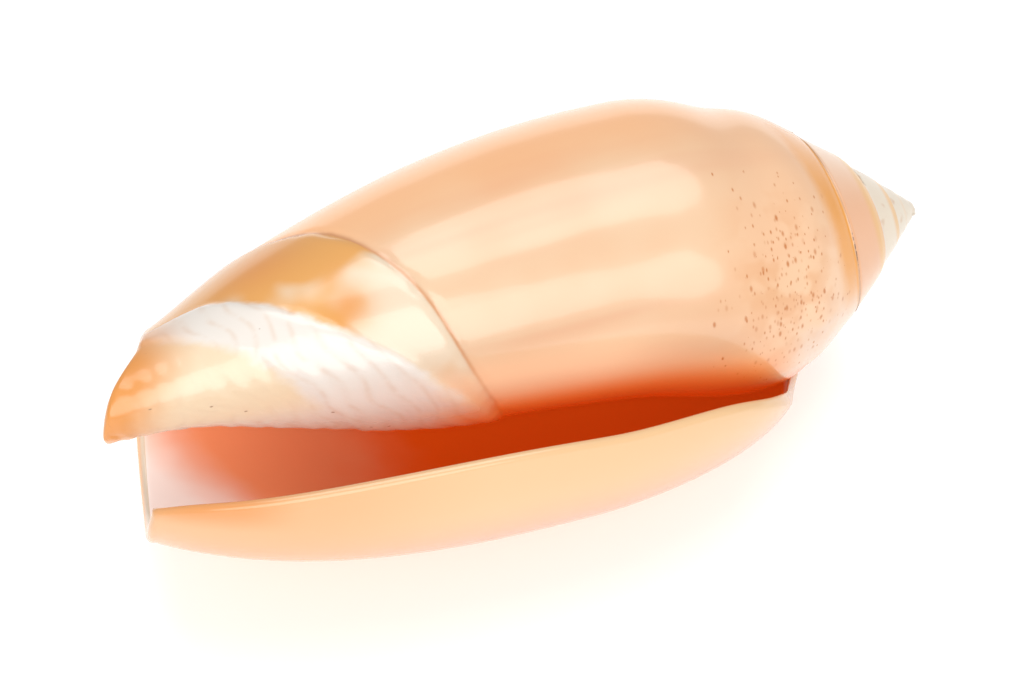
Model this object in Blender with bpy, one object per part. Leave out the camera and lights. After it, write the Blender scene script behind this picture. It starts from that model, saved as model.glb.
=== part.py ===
"""Olive shell: one coiled piece, apex towards +X, lying on its back with the aperture up.

Blender script, metres, +Z up. The shell is described in its own spiral coordinates first:
growth is the angle that the lip has swept, in degrees, 0 where the body whorl starts and 360
near its lip; station is the distance from the apex along the axis, in millimetres; radius is
the distance from the axis. The last function turns that shape onto its resting place.
"""

import math

import bmesh
import bpy
import numpy as np
from mathutils import Matrix, Vector

MM = 0.001

# Driving dimensions, millimetres and degrees
BODY_RADIUS = 15.3  # widest radius of the outer lip
BODY_STATION = 29.2  # where the lip is widest
BACK_SPAN = 25.3  # half axis of the oval from there to the shoulder
FRONT_SPAN = 35.5  # half axis of the oval from there to the front end
FRONT_POWER = 2.5  # how full the front oval is
SPIRE_GAIN = 1.75  # growth of the spire in one turn
SPIRE_SWELL = 0.1  # how far a spire whorl swells past the straight cone, by its height
SPIRE_TURNS = 4
SHOULDER_RISE = 1.3  # how soon a whorl swells out of its suture
WALL = 1.25
LIP_WALL = 0.8
RIM_BULGE = 0.5  # how far an edge is rounded out at most
LIP_START = 300.0  # growth angle where the lip leaves the suture
NOTCH = 180.0  # growth angle where the columella's margin passes into the outer wall's
CAVITY_DEPTH = 300.0  # how far the hollow is open behind the lip, degrees
UPWARD = 70.3  # growth angle that faces up when the shell lies on its back
DIP = 1.8  # how far the apex dips when it lies so
REST_FLAT = 0.35  # height of the small flat on the underside that the shell rests on

# Mesh density
STEP = 10.0  # degrees in one column
SPIRE_ROWS = 5  # rows between two sutures
BODY_ROWS = 40  # rows from the suture to the front margin
RIM_STEPS = 4  # faces round the rim's edge
FREE_COLUMNS = 9  # columns that follow the lip's slant, from 210 degrees of growth


def spline(points):
    """A smooth curve through (x, y) points, natural at both ends and level outside them."""
    x, y = np.array(points, float).T
    span = np.diff(x)
    rise = np.diff(y) / span
    count = len(x)
    system = np.zeros((count, count))
    right = np.zeros(count)
    system[0, :2], right[0] = (2, 1), 3 * rise[0]
    system[-1, -2:], right[-1] = (1, 2), 3 * rise[-1]
    for i in range(1, count - 1):
        system[i, i - 1 : i + 2] = span[i], 2 * (span[i - 1] + span[i]), span[i - 1]
        right[i] = 3 * (span[i] * rise[i - 1] + span[i - 1] * rise[i])
    slope = np.linalg.solve(system, right)

    def value(q):
        q = min(max(q, x[0]), x[-1])
        i = min(int(np.searchsorted(x, q, side="right")) - 1, count - 2)
        t = (q - x[i]) / span[i]
        ends = y[i] * (1 + 2 * t) * (1 - t) ** 2 + y[i + 1] * t * t * (3 - 2 * t)
        return ends + span[i] * t * (1 - t) * (slope[i] * (1 - t) - slope[i + 1] * t)

    return value


def smooth(start, end, x):
    """0 up to start, 1 from end on, and an S-curve between them."""
    t = min(max((x - start) / (end - start), 0.0), 1.0)
    return t * t * (3 - 2 * t)


# Suture of the body whorl: station and radius by growth
suture_station_at = spline([
    (0, 7.35), (50, 7.7), (100, 8.15), (160, 8.8), (220, 9.6), (260, 10.2), (300, 11.0), (360, 12.6),
])
suture_radius_at = spline([
    (0, 6.4), (50, 6.72), (100, 7.1), (160, 7.6), (220, 8.1), (260, 8.4), (300, 8.65), (360, 9.25),
])
# Inner radius, where the growth of the body whorl starts: shoulder, parietal wall, columella
inner_radius = spline([
    (6, 5.9), (8, 7.25), (10.5, 8.8), (12.5, 9.5), (15, 9.65), (18, 9.2), (22, 8.15), (27, 7.35),
    (31, 6.9), (35.5, 6.4), (38, 6.0), (42, 5.1), (46, 4.0), (50, 2.8), (54, 1.8), (57.5, 1.6), (61, 1.5),
])
# Share of the growth from the inner radius to the lip's radius: middle, shoulder and front end
middle_growth = spline([
    (-360, -0.16), (-180, -0.08), (-50, 0.0), (0, 0.15), (50, 0.36), (130, 0.66), (200, 0.76),
    (240, 0.77), (275, 0.79), (315, 0.96), (380, 1.0),
])
shoulder_growth = spline([
    (-360, -0.1), (-50, 0.0), (0, 0.0), (118, 0.0), (220, 0.45), (310, 0.94), (380, 1.0),
])
front_growth = spline([
    (-360, -0.05), (-180, -0.03), (-50, 0.0), (0, 0.10), (50, 0.25), (90, 0.27), (130, 0.28), (180, 0.40),
    (230, 0.57), (280, 0.80), (330, 0.97), (380, 1.05),
])
shoulder_share = spline([
    (6, 0.1), (9, 0.2), (12, 0.52), (13.5, 0.58), (15.7, 0.27), (18, 0.05), (20, 0),
])
front_share = spline([
    (14, 0), (26, 0.08), (32, 0.2), (38, 0.38), (44, 0.54), (50, 0.70), (54, 0.90), (57.6, 1.05),
    (61, 1.1),
])
# Front margin: columella tip, siphonal notch, corner of the lip
margin_station = spline([
    (0, 59.4), (40, 59.3), (60, 58.7), (80, 57.4), (100, 56.0), (120, 55.2), (150, 54.8), (180, 55.0),
    (240, 56.0), (300, 57.8), (335, 58.5), (360, 58.2),
])
# Growth angle of the lip's edge, by share of the way from suture to margin
lip_growth = spline([
    (0, LIP_START), (0.03, 312), (0.05, 328), (0.08, 340), (0.12, 347), (0.2, 353), (0.32, 355.5),
    (0.45, 358), (0.6, 359.3), (0.76, 358.3), (0.9, 355), (0.96, 352), (1.0, 348),
])
# The hollow's two edges behind the lip, by degrees behind it: room left to the suture, and front end
back_room = spline([(60, 0), (80, 0.6), (110, 1.8), (180, 3.6), (240, 6.0), (300, 9.0)])
front_edge = spline([(180, 55.0), (220, 53.0), (260, 50.0), (300, 46.0)])


def suture_station(growth):
    """Station of the seam along which a whorl is laid on the one before it."""
    if growth < 0:
        return suture_station_at(0) * SPIRE_GAIN ** (growth / 360)
    return suture_station_at(growth)


def suture_radius(growth):
    """Radius of that seam."""
    if growth < 0:
        return suture_radius_at(0) * SPIRE_GAIN ** (growth / 360)
    return suture_radius_at(growth)


def lip_radius(station):
    """Outline of the last whorl: half an oval towards the spire, a fuller one towards the front."""
    away = abs(station - BODY_STATION)
    if station < BODY_STATION:
        inside = 1 - (away / BACK_SPAN) ** 2
    else:
        inside = 1 - (away / FRONT_SPAN) ** FRONT_POWER
    return BODY_RADIUS * math.sqrt(max(inside, 0))


def whorl_radius(growth, station):
    """The outside of the shell, from its suture on, also where a later whorl covers it."""
    front, shoulder = front_share(station), shoulder_share(station)
    share = middle_growth(growth) * (1 - front - shoulder)
    share += front_growth(growth) * front + shoulder_growth(growth) * shoulder
    swollen = inner_radius(station) + (lip_radius(station) - inner_radius(station)) * share
    start = suture_radius(growth)
    rise = 1 - math.exp(-max(station - suture_station(growth), 0) / SHOULDER_RISE)
    return start + (swollen - start) * rise


def covered_radius(growth, station):
    """A whorl whose far edge the next turn covers: spire, parietal wall and columella."""
    near, far = suture_station(growth), suture_station(growth + 360)
    start, end = suture_radius(growth), suture_radius(growth + 360)
    short = end - whorl_radius(growth, far)
    if station > far:
        return whorl_radius(growth, station) + short * math.exp((far - station) / 3)
    way = (station - near) / (far - near)
    swelling = SPIRE_SWELL * (far - near) * (1 - math.exp(-5 * way)) * (1 - way)
    cone = start + (end - start) * way + swelling
    late = smooth(-300, 0, growth)
    return cone * (1 - late) + (whorl_radius(growth, station) + short * way * way) * late


def body_radius(growth, station):
    """The body whorl, which starts as the whorl before it ends."""
    carried = covered_radius(0, station) - whorl_radius(0, station)
    return whorl_radius(growth, station) + carried * (1 - smooth(0, 90, growth))


def place(growth, station, radius):
    """The point at those spiral coordinates, with the axis along -X from the apex."""
    angle = -math.radians(growth)
    return Vector((-station, radius * math.cos(angle), radius * math.sin(angle)))


def spire_grid():
    """Columns of points from the first whorl to the start of the body whorl."""
    grid = []
    for i in range(round(SPIRE_TURNS * 360 / STEP) + 1):
        growth = i * STEP - SPIRE_TURNS * 360
        near, far = suture_station(growth), suture_station(growth + 360)
        stations = [near + (far - near) * j / SPIRE_ROWS for j in range(SPIRE_ROWS + 1)]
        grid.append([place(growth, s, covered_radius(growth, s)) for s in stations])
    return grid


def row_share(row):
    """The share of the way from suture to margin at which a row of the body lies."""
    shoulder = (suture_station(360) - suture_station(0)) / (margin_station(0) - suture_station(0))
    if row <= SPIRE_ROWS:
        return shoulder * row / SPIRE_ROWS
    return shoulder + (1 - shoulder) * (row - SPIRE_ROWS) / (BODY_ROWS - SPIRE_ROWS)


def slanted(column, columns, share):
    """Growth at a column, the last FREE_COLUMNS being drawn out to the slanting lip edge."""
    fixed = columns - FREE_COLUMNS
    if column <= fixed:
        return column * STEP
    start = fixed * STEP
    return start + (lip_growth(share) - start) * (column - fixed) / FREE_COLUMNS


def body_station(growth, share):
    """Station at a share of the way from the suture to the front margin."""
    near = suture_station(growth)
    return near + (margin_station(growth) - near) * share


def body_grid():
    """Columns of points on the body whorl, from its start to the lip's edge."""
    columns = round(LIP_START / STEP)
    grid = []
    for i in range(columns + 1):
        column = []
        for j in range(BODY_ROWS + 1):
            share = row_share(j)
            growth = slanted(i, columns, share)
            station = body_station(growth, share)
            column.append(place(growth, station, body_radius(growth, station)))
        grid.append(column)
    return grid


def wall_at(growth):
    """Thickness of the outer wall, thinner towards the lip."""
    return WALL + (LIP_WALL - WALL) * smooth(250, 350, growth)


def hollow_station(behind, share):
    """Station in the hollow, between its two closed edges where it has them."""
    near = suture_station(360 - behind) + back_room(behind)
    far = front_edge(behind) if behind > NOTCH else margin_station(360 - behind)
    return near + (far - near) * share


def ceiling_radius(behind, station, near):
    """Inner face of the outer wall; it starts on the parietal wall, in the back corner."""
    growth = 360 - behind
    wall = body_radius(growth, station) - wall_at(growth)
    corner = floor_radius(behind, near)
    return corner + (wall - corner) * (1 - math.exp(-(station - near) / 0.9))


def ceiling_grid():
    """Inner face of the outer wall, column 0 at the lip."""
    grid = []
    depth_columns = round((CAVITY_DEPTH - 150) / STEP)
    columns = round(LIP_START / STEP)
    for i in range(FREE_COLUMNS + depth_columns + 1):
        column = []
        for j in range(BODY_ROWS + 1):
            share = row_share(j)
            if i <= FREE_COLUMNS:
                behind = 360 - slanted(columns - i, columns, share)
            else:
                behind = 150 + (i - FREE_COLUMNS) * STEP
            station = hollow_station(behind, share)
            near = hollow_station(behind, 0)
            if j == 0:
                radius = floor_radius(behind, station)
            else:
                radius = ceiling_radius(behind, station, near)
            column.append(place(360 - behind, station, radius))
        grid.append(column)
    return grid


def floor_radius(behind, station):
    """Parietal wall and columella; the columella spreads to meet the wall at the closed front."""
    radius = covered_radius(-behind, station)
    edge = front_edge(behind)
    growth = 360 - behind
    wall = body_radius(growth, edge) - wall_at(growth)
    spread = (wall - covered_radius(-behind, edge)) * smooth(110, NOTCH, behind)
    return radius + spread * math.exp(-max(edge - station, 0) / 2.5)


def floor_grid():
    """Parietal wall and columella, column 0 at the start of the body whorl."""
    grid = []
    rows = BODY_ROWS - SPIRE_ROWS
    for i in range(round(CAVITY_DEPTH / STEP) + 1):
        behind = i * STEP
        near = suture_station(360 - behind) + back_room(behind)
        far = front_edge(behind) if behind > NOTCH else margin_station(behind)
        stations = [near + (far - near) * j / rows for j in range(rows + 1)]
        grid.append([place(-behind, s, floor_radius(behind, s)) for s in stations])
    return grid


class Skin:
    """Collects patches of points into one mesh, whose shared borders are welded."""

    def __init__(self):
        self.mesh = bmesh.new()

    def verts(self, points):
        """A new vertex at each point."""
        return [self.mesh.verts.new(p) for p in points]

    def patch(self, grid):
        """Faces between neighbouring columns of points."""
        columns = [self.verts(column) for column in grid]
        for left, right in zip(columns, columns[1:]):
            for a, b, c, d in zip(left, right, right[1:], left[1:]):
                self.mesh.faces.new((a, b, c, d))

    def fan(self, centre, loop):
        """Triangles from a centre to a line of points."""
        middle = self.mesh.verts.new(centre)
        ring = self.verts(loop)
        for a, b in zip(ring, ring[1:]):
            self.mesh.faces.new((middle, a, b))

    def ladder(self, left, right):
        """Triangles between two lines of points that share their ends and differ in number."""
        a, b = self.verts(left), self.verts(right)
        i = j = 0
        while i < len(a) - 1 or j < len(b) - 1:
            left_due = (i + 1) * (len(b) - 1) <= (j + 1) * (len(a) - 1)
            if i < len(a) - 1 and (j == len(b) - 1 or left_due):
                self.mesh.faces.new((a[i], b[j], a[i + 1]))
                i += 1
            else:
                self.mesh.faces.new((a[i], b[j], b[j + 1]))
                j += 1


def rounded_rim(outer, inner, heading):
    """Points over the edge of a wall: an arc from each outer point to its inner one."""
    strip = []
    for a, b, out in zip(outer, inner, heading):
        middle, half = (a + b) / 2, (a - b) / 2
        side = out - half * (out.dot(half) / max(half.length_squared, 1e-12))
        side = side.normalized() * min(half.length, RIM_BULGE)
        turns = [math.pi * k / RIM_STEPS for k in range(RIM_STEPS + 1)]
        strip.append([middle + half * math.cos(t) + side * math.sin(t) for t in turns])
    return strip


def build_skin():
    """The whole skin of the shell, outside, rims and hollow, in spiral coordinates."""
    spire, body = spire_grid(), body_grid()
    ceiling, floor = ceiling_grid(), floor_grid()
    skin = Skin()
    for grid in (spire, body, ceiling, floor):
        skin.patch(grid)

    first_turn = round(360 / STEP)
    loop = [column[0] for column in spire[: first_turn + 1]] + spire[0][::-1][1:]
    skin.fan(Vector((-0.3 * suture_station(-SPIRE_TURNS * 360), 0, 0)), loop)

    notch = round(NOTCH / STEP)
    front = Vector((-1, 0, 0))
    lip_heading = [(p - q).normalized() for p, q in zip(body[-1], body[-2])]
    lip_heading[-1] = (lip_heading[-1] + front).normalized()
    skin.patch(rounded_rim(body[-1], ceiling[0], lip_heading))

    margin = [column[-1] for column in body]
    wall_edge = [column[-1] for column in ceiling]
    wall_count = len(body) - notch
    heading = [front] * (wall_count - 1) + [lip_heading[-1]]
    skin.patch(rounded_rim(margin[notch:], wall_edge[:wall_count][::-1], heading))
    tip_edge = [column[-1] for column in floor[: notch + 1]]
    skin.patch(rounded_rim(margin[: notch + 1], tip_edge, [front] * (notch + 1)))

    skin.ladder(ceiling[-1], floor[-1])
    return skin.mesh


def shell_material():
    """Glossy peach enamel."""
    material = bpy.data.materials.new("shell")
    material.use_nodes = True
    shader = material.node_tree.nodes["Principled BSDF"]
    shader.inputs["Base Color"].default_value = (0.90, 0.55, 0.33, 1)
    shader.inputs["Roughness"].default_value = 0.22
    shader.inputs["Metallic"].default_value = 0.0
    return material


def make_shell():
    """Welds the skin and lays the shell on its back, its box centred on the origin."""
    mesh = build_skin()
    bmesh.ops.remove_doubles(mesh, verts=mesh.verts, dist=0.002)
    bmesh.ops.dissolve_degenerate(mesh, edges=mesh.edges, dist=0.002)
    bmesh.ops.recalc_face_normals(mesh, faces=mesh.faces)
    rolled = Matrix.Rotation(math.radians(90 + UPWARD), 4, "X")
    turned = Matrix.Rotation(math.radians(DIP), 4, "Y") @ rolled
    bmesh.ops.transform(mesh, matrix=Matrix.Scale(MM, 4) @ turned, verts=mesh.verts)
    low = Vector(min(v.co[k] for v in mesh.verts) for k in range(3))
    high = Vector(max(v.co[k] for v in mesh.verts) for k in range(3))
    middle = (low + high) / 2
    bmesh.ops.translate(mesh, vec=(-middle.x, -middle.y, -low.z - REST_FLAT * MM), verts=mesh.verts)
    for vertex in mesh.verts:
        vertex.co.z = max(vertex.co.z, 0.0)
    data = bpy.data.meshes.new("shell")
    mesh.to_mesh(data)
    mesh.free()
    data.shade_smooth()
    data.materials.append(shell_material())
    shell = bpy.data.objects.new("shell", data)
    bpy.context.scene.collection.objects.link(shell)
    return shell


for old in list(bpy.data.objects):
    bpy.data.objects.remove(old, do_unlink=True)
make_shell()
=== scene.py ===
"""Olive shell: the finished look of the coiled shell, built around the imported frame.

The shell is described in spiral coordinates. Growth is the angle that the lip has swept, in
degrees: 0 where the body whorl starts, 360 near its lip, negative on the spire and on the
walls that the body whorl covers. Station is the distance from the apex along the axis and
radius the distance from that axis, both in millimetres. Geometry Nodes turn these rules into
the skin of the shell, patch by patch.
"""

import logging
import math
from dataclasses import dataclass
from enum import Enum
from typing import Callable, Dict, List, Optional, Sequence, Tuple, Union

import bmesh
import bpy
import numpy as np
from mathutils import Matrix, Vector

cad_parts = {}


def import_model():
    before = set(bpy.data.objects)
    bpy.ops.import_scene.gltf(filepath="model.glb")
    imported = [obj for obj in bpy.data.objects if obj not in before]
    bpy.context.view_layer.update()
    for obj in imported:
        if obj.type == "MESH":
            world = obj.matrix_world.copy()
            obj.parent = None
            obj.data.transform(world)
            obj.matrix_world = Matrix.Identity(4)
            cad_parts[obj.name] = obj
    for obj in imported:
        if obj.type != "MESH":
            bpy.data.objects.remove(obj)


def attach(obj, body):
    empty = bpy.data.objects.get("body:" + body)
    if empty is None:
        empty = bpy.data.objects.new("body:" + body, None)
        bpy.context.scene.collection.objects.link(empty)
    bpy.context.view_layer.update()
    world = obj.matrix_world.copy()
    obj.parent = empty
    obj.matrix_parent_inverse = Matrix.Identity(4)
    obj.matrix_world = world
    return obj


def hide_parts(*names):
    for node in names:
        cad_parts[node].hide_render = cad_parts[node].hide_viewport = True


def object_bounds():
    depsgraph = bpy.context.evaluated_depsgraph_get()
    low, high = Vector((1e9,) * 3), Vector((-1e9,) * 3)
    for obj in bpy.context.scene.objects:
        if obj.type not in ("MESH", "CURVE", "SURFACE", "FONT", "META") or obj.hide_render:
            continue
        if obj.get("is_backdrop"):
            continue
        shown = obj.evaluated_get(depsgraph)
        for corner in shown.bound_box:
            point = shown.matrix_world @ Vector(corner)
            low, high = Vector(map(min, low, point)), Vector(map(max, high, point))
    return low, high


log = logging.getLogger("olive_shell")

MM = 0.001
Point = Tuple[float, float]


# ---------------------------------------------------------------------------
# Node arithmetic
# ---------------------------------------------------------------------------


class Field:
    """A socket of a node tree that can be added, scaled and compared like a number."""

    def __init__(self, graph: "Graph", socket: bpy.types.NodeSocket) -> None:
        """Wraps an output socket of the graph's tree."""
        self.graph = graph
        self.socket = socket

    def __add__(self, other: "Value") -> "Field":
        """Sum."""
        return self.graph.math("ADD", self, other)

    def __sub__(self, other: "Value") -> "Field":
        """Difference."""
        return self.graph.math("SUBTRACT", self, other)

    def __rsub__(self, other: "Value") -> "Field":
        """Difference, from a number."""
        return self.graph.math("SUBTRACT", other, self)

    def __mul__(self, other: "Value") -> "Field":
        """Product."""
        return self.graph.math("MULTIPLY", self, other)

    def __truediv__(self, other: "Value") -> "Field":
        """Quotient."""
        return self.graph.math("DIVIDE", self, other)

    def __rtruediv__(self, other: "Value") -> "Field":
        """Quotient of a number by this."""
        return self.graph.math("DIVIDE", other, self)

    def __neg__(self) -> "Field":
        """Negative."""
        return self.graph.math("MULTIPLY", self, -1.0)

    __radd__ = __add__
    __rmul__ = __mul__


Value = Union[Field, float, int]


class Graph:
    """Builds nodes in one tree, whether of geometry or of a material."""

    def __init__(self, tree: bpy.types.NodeTree) -> None:
        """Starts on a tree that may already hold nodes."""
        self.tree = tree

    def node(self, kind: str, **settings: object) -> bpy.types.Node:
        """Adds a node.

        Args:
            kind: Blender's node type name.
            settings: properties set on the node.

        Returns:
            The new node.
        """
        made = self.tree.nodes.new(kind)
        for name, value in settings.items():
            setattr(made, name, value)
        return made

    def feed(self, socket: bpy.types.NodeSocket, value: object) -> None:
        """Links a field to a socket, or sets the socket to a plain value.

        Args:
            socket: the input to feed.
            value: a field, an output or a plain value.
        """
        if isinstance(value, Field):
            self.tree.links.new(value.socket, socket)
        elif isinstance(value, bpy.types.NodeSocket):
            self.tree.links.new(value, socket)
        else:
            socket.default_value = value

    def math(self, operation: str, *values: Value) -> Field:
        """Adds a Math node.

        Args:
            operation: one of the Math node's operations.
            values: its operands, fields or numbers.

        Returns:
            The result.
        """
        made = self.node("ShaderNodeMath", operation=operation)
        for socket, value in zip(made.inputs, values):
            self.feed(socket, value)
        return Field(self, made.outputs[0])

    def ramp(self, x: Value, start: Value, end: Value, smooth: bool = True) -> Field:
        """A value that goes from 0 to 1 as x goes from start to end, and stays there.

        Args:
            x: what is measured.
            start: where the value is still 0.
            end: where it reaches 1.
            smooth: whether it eases in and out.

        Returns:
            The share of the way.
        """
        kind = "SMOOTHSTEP" if smooth else "LINEAR"
        made = self.node("ShaderNodeMapRange", interpolation_type=kind)
        for name, value in (("Value", x), ("From Min", start), ("From Max", end)):
            self.feed(made.inputs[name], value)
        return Field(self, made.outputs[0])

    def mix(self, share: Value, first: Value, second: Value) -> Field:
        """The value between first and second at that share of the way."""
        return self.math("MULTIPLY_ADD", share, second - first, first)

    def vector(self, operation: str, *values: object) -> bpy.types.Node:
        """Adds a Vector Math node and feeds its vector inputs in order.

        Args:
            operation: one of the Vector Math node's operations.
            values: its vectors, in order.

        Returns:
            The new node.
        """
        made = self.node("ShaderNodeVectorMath", operation=operation)
        for socket, value in zip(made.inputs, values):
            self.feed(socket, value)
        return made

    def tint(self, share: Value, first: object, second: object) -> Field:
        """The colour between first and second at that share of the way.

        Args:
            share: the share of the way.
            first: the colour at 0.
            second: the colour at 1.

        Returns:
            The mixed colour.
        """
        made = self.node("ShaderNodeMix", data_type="RGBA")
        self.feed(made.inputs["Factor"], share)
        for socket, colour in ((made.inputs[6], first), (made.inputs[7], second)):
            self.feed(socket, (*colour, 1.0) if isinstance(colour, tuple) else colour)
        return Field(self, made.outputs[2])

    def noise(
        self,
        place: bpy.types.NodeSocket,
        scale: float,
        detail: float = 2.0,
        squash: Optional[Tuple[float, float, float]] = None,
    ) -> Field:
        """Cloudy noise from 0 to 1.

        Args:
            place: where it is read.
            scale: how many clouds there are in a unit of length.
            detail: how many finer octaves it has.
            squash: factors on the place, to draw the noise out along an axis.

        Returns:
            The noise.
        """
        if squash is not None:
            place = self.vector("MULTIPLY", place, squash).outputs[0]
        made = self.node("ShaderNodeTexNoise", noise_dimensions="3D")
        self.feed(made.inputs["Vector"], place)
        made.inputs["Scale"].default_value = scale
        made.inputs["Detail"].default_value = detail
        return Field(self, made.outputs[0])

    def channel(self, colour: bpy.types.NodeSocket, index: int) -> Field:
        """One channel of a colour.

        Args:
            colour: the colour to take apart.
            index: 0 for red, 1 for green and 2 for blue.

        Returns:
            That channel.
        """
        made = self.node("ShaderNodeSeparateColor")
        self.feed(made.inputs[0], colour)
        return Field(self, made.outputs[index])


def exp(x: Field) -> Field:
    """The exponential of a field."""
    return x.graph.math("EXPONENT", x)


def bell(x: Field, width: float) -> Field:
    """A rounded bump of height 1 about x = 0, with that half width."""
    near = x / width
    return exp(-(near * near))


class Rule:
    """A node group that works like a function of numbers, built once for its kind of tree."""

    def __init__(
        self,
        name: str,
        inputs: Sequence[str],
        outputs: Sequence[str],
        body: Callable[..., Sequence[Field]],
        tree_type: str = "GeometryNodeTree",
    ) -> None:
        """Builds the group.

        Args:
            name: the group's name.
            inputs: the names of its inputs, all plain numbers.
            outputs: the names of its outputs.
            body: makes the outputs from the graph and one field for each input.
            tree_type: the kind of tree that the group can stand in.
        """
        self.tree = bpy.data.node_groups.new(name, tree_type)
        self.count = len(outputs)
        for label in inputs:
            self.tree.interface.new_socket(label, in_out="INPUT", socket_type="NodeSocketFloat")
        for label in outputs:
            self.tree.interface.new_socket(label, in_out="OUTPUT", socket_type="NodeSocketFloat")
        graph = Graph(self.tree)
        start, end = graph.node("NodeGroupInput"), graph.node("NodeGroupOutput")
        results = body(graph, *(Field(graph, start.outputs[label]) for label in inputs))
        for socket, result in zip(end.inputs, results):
            graph.feed(socket, result)

    def __call__(self, graph: Graph, *values: Value) -> Union[Field, Tuple[Field, ...]]:
        """Places the group in a graph.

        Args:
            graph: where it is placed.
            values: one field or number for each input.

        Returns:
            Its output, or a tuple of them if it has several.
        """
        kind = "GeometryNodeGroup" if graph.tree.type == "GEOMETRY" else "ShaderNodeGroup"
        made = graph.node(kind, node_tree=self.tree)
        for socket, value in zip(made.inputs, values):
            graph.feed(socket, value)
        found = tuple(Field(graph, made.outputs[k]) for k in range(self.count))
        return found[0] if self.count == 1 else found


class Curve:
    """A smooth curve through a few points, level outside them, for numbers and for fields."""

    def __init__(self, name: str, points: Sequence[Point]) -> None:
        """Finds the slopes at the points that keep the curve's bending continuous.

        Args:
            name: what the curve describes; its node group takes this name.
            points: (x, y) points in order.
        """
        self.name = name
        self.x, self.y = np.array(points, float).T
        self.span = np.diff(self.x)
        self.slope = self._slopes()
        self.rule: Optional[Rule] = None

    def _slopes(self) -> np.ndarray:
        """Solves for the slope of a natural spline at each point.

        Returns:
            One slope for each point.
        """
        count = len(self.x)
        rise = np.diff(self.y) / self.span
        system, right = np.zeros((count, count)), np.zeros(count)
        system[0, :2], right[0] = (2, 1), 3 * rise[0]
        system[-1, -2:], right[-1] = (1, 2), 3 * rise[-1]
        for i in range(1, count - 1):
            before, after = self.span[i - 1], self.span[i]
            system[i, i - 1 : i + 2] = after, 2 * (before + after), before
            right[i] = 3 * (after * rise[i - 1] + before * rise[i])
        return np.linalg.solve(system, right)

    def _pieces(self) -> List[Tuple[float, float, float]]:
        """The three factors of each stretch, for t, t squared and t cubed along it.

        Returns:
            One set of factors for each stretch.
        """
        found = []
        for i, span in enumerate(self.span):
            height = self.y[i + 1] - self.y[i]
            start, end = span * self.slope[i], span * self.slope[i + 1]
            found.append((start, 3 * height - 2 * start - end, start + end - 2 * height))
        return found

    def _body(self, graph: Graph, x: Field) -> List[Field]:
        """Adds up the stretches, each held at its ends.

        Args:
            graph: where the nodes are added.
            x: where the curve is read.

        Returns:
            The curve's value, as the group's one output.
        """
        total: Value = float(self.y[0])
        for i, (first, second, third) in enumerate(self._pieces()):
            way = graph.ramp(x, float(self.x[i]), float(self.x[i + 1]), smooth=False)
            inner = graph.math("MULTIPLY_ADD", way, float(third), float(second))
            outer = graph.math("MULTIPLY_ADD", way, inner, float(first))
            total = graph.math("MULTIPLY_ADD", way, outer, total)
        return [total]

    def at(self, x: float) -> float:
        """The curve's value at a number.

        Args:
            x: where the curve is read.

        Returns:
            The curve's value.
        """
        total = float(self.y[0])
        for i, (first, second, third) in enumerate(self._pieces()):
            way = min(max((x - self.x[i]) / self.span[i], 0.0), 1.0)
            total += way * (first + way * (second + way * third))
        return total

    def __call__(self, x: Field) -> Field:
        """The curve's value at a field, from its node group.

        Args:
            x: where the curve is read.

        Returns:
            The curve's value.
        """
        if self.rule is None:
            self.rule = Rule(self.name, ["x"], ["y"], self._body)
        return self.rule(x.graph, x)


# ---------------------------------------------------------------------------
# The shape of the shell
# ---------------------------------------------------------------------------


@dataclass(frozen=True)
class ShellSizes:
    """Driving dimensions, in millimetres and degrees."""

    body_radius: float = 15.3
    body_station: float = 29.2
    back_span: float = 25.3
    front_span: float = 35.5
    front_power: float = 2.5
    spire_gain: float = 1.75
    spire_turns: int = 5
    shoulder_rise: float = 1.3
    wall: float = 1.25
    lip_wall: float = 0.8
    rim_bulge: float = 0.5
    lip_start: float = 300.0
    free_start: float = 210.0
    hollow_depth: float = 300.0
    upward: float = 70.3
    dip: float = 1.8


@dataclass(frozen=True)
class Relief:
    """Heights of the fine relief on the enamel, in millimetres."""

    band_step: float = 0.16
    band_groove: float = 0.14
    callus_step: float = 0.28
    tongue_step: float = 0.16
    strand: float = 0.05
    strand_pitch: float = 1.5
    suture_lip: float = 0.14


@dataclass(frozen=True)
class Density:
    """How finely the skin is divided."""

    turn_columns: int = 180
    spire_rows: int = 12
    body_rows: int = 160
    rim_steps: int = 8


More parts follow.
